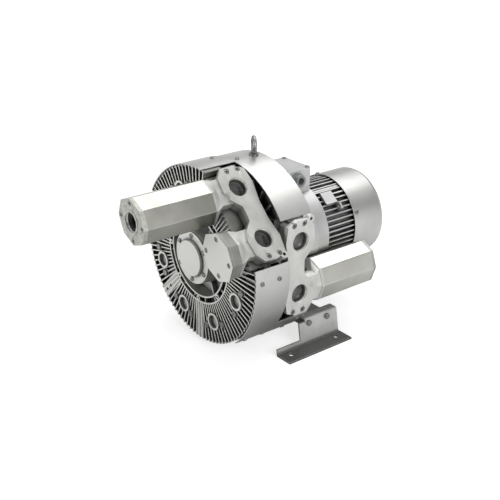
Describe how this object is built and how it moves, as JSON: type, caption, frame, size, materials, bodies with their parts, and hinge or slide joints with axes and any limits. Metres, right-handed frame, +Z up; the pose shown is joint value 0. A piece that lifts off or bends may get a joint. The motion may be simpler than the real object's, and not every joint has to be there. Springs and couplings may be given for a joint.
{
  "type": "side channel blower",
  "caption": "Two-stage side channel blower with ribbed round housing, side ports, octagonal silencers, flanged motor, lifting eye and sheet-metal feet.",
  "frame": {"origin": "middle of the four foot holes, at the underside of the feet", "axes": "+Z up, +Y from the outboard bearing to the motor fan along the shaft, +X to the side with the ports"},
  "size_m": [0.459, 0.729, 0.5006],
  "materials": {
    "cast_aluminium": "sand-blasted die cast, satin",
    "impeller_aluminium": "machined die cast",
    "motor_aluminium": "silver-grey lacquer, satin",
    "extruded_aluminium": "anodised extrusion, satin",
    "silver_sheet_steel": "silver lacquer, satin",
    "foot_sheet_steel": "silver-grey lacquer, satin",
    "shaft_steel": "ground",
    "bearing_steel": "polished",
    "cage_brass": "machined",
    "zinc_fasteners": "zinc plated",
    "seal_rubber": "matt",
    "silencer_foam": "open foam",
    "lamination_steel": "varnished laminations",
    "copper_winding": "enamelled copper",
    "fan_plastic": "moulded, matt",
    "gland_plastic": "moulded, matt"
  },
  "bodies": {
    "housing": {"bearing_cap": "cast_aluminium", "blanking_cover": "cast_aluminium", "cable_gland": "gland_plastic", "cover_screws": "zinc_fasteners", "drive_end_bearing_outer_ring": "bearing_steel", "drive_end_shield": "motor_aluminium", "fan_cover": "silver_sheet_steel", "foot_bolts": "zinc_fasteners", "front_cover": "cast_aluminium", "front_port_casting": "cast_aluminium", "front_side_shroud": "silver_sheet_steel", "front_silencer_end_cap": "cast_aluminium", "front_silencer_lining": "silencer_foam", "front_silencer_tube": "extruded_aluminium", "front_top_shroud": "silver_sheet_steel", "housing_bolts": "zinc_fasteners", "left_foot": "foot_sheet_steel", "lifting_eye_bolt": "zinc_fasteners", "middle_housing": "cast_aluminium", "outboard_bearing_outer_ring": "bearing_steel", "port_casting_bolts": "zinc_fasteners", "port_gaskets": "seal_rubber", "rear_bearing_outer_ring": "bearing_steel", "rear_end_shield": "motor_aluminium", "rear_housing": "cast_aluminium", "rear_lower_shroud": "silver_sheet_steel", "rear_port_casting": "cast_aluminium", "rear_silencer_end_cap": "cast_aluminium", "rear_silencer_lining": "silencer_foam", "rear_silencer_tube": "extruded_aluminium", "rear_top_shroud": "silver_sheet_steel", "right_foot": "foot_sheet_steel", "shaft_seals": "seal_rubber", "shield_bolts": "zinc_fasteners", "shroud_screws": "zinc_fasteners", "silencer_tie_rods": "zinc_fasteners", "stator_core": "lamination_steel", "stator_frame": "motor_aluminium", "stator_windings": "copper_winding", "terminal_box": "motor_aluminium", "terminal_box_lid": "motor_aluminium"},
    "rotor": {"shaft": "shaft_steel", "front_impeller": "impeller_aluminium", "rear_impeller": "impeller_aluminium", "impeller_keys": "shaft_steel", "front_distance_collar": "shaft_steel", "impeller_spacer": "shaft_steel", "shaft_lock_nut": "shaft_steel", "outboard_bearing_inner_ring": "bearing_steel", "drive_end_bearing_inner_ring": "bearing_steel", "rear_bearing_inner_ring": "bearing_steel", "rotor_core": "lamination_steel", "cooling_fan": "fan_plastic"},
    "outboard_ball_set": {"outboard_bearing_cage": "cage_brass", "outboard_bearing_balls": "bearing_steel"},
    "drive_end_ball_set": {"drive_end_bearing_cage": "cage_brass", "drive_end_bearing_balls": "bearing_steel"},
    "rear_ball_set": {"rear_bearing_cage": "cage_brass", "rear_bearing_balls": "bearing_steel"}
  },
  "joints": [
    {"name": "rotor_spin", "type": "hinge", "parent": "housing", "child": "rotor", "pos_m": [0, 0, 0.231], "axis": [0, 1, 0], "continuous": true},
    {"name": "outboard_ball_set_spin", "type": "hinge", "parent": "housing", "child": "outboard_ball_set", "pos_m": [0, 0, 0.231], "axis": [0, 1, 0], "continuous": true},
    {"name": "drive_end_ball_set_spin", "type": "hinge", "parent": "housing", "child": "drive_end_ball_set", "pos_m": [0, 0, 0.231], "axis": [0, 1, 0], "continuous": true},
    {"name": "rear_ball_set_spin", "type": "hinge", "parent": "housing", "child": "rear_ball_set", "pos_m": [0, 0, 0.231], "axis": [0, 1, 0], "continuous": true}
  ],
  "couplings": [
    {"joint": "outboard_ball_set_spin", "follows": "rotor_spin", "ratio": 0.4017},
    {"joint": "drive_end_ball_set_spin", "follows": "rotor_spin", "ratio": 0.3814},
    {"joint": "rear_ball_set_spin", "follows": "rotor_spin", "ratio": 0.4017}
  ]
}
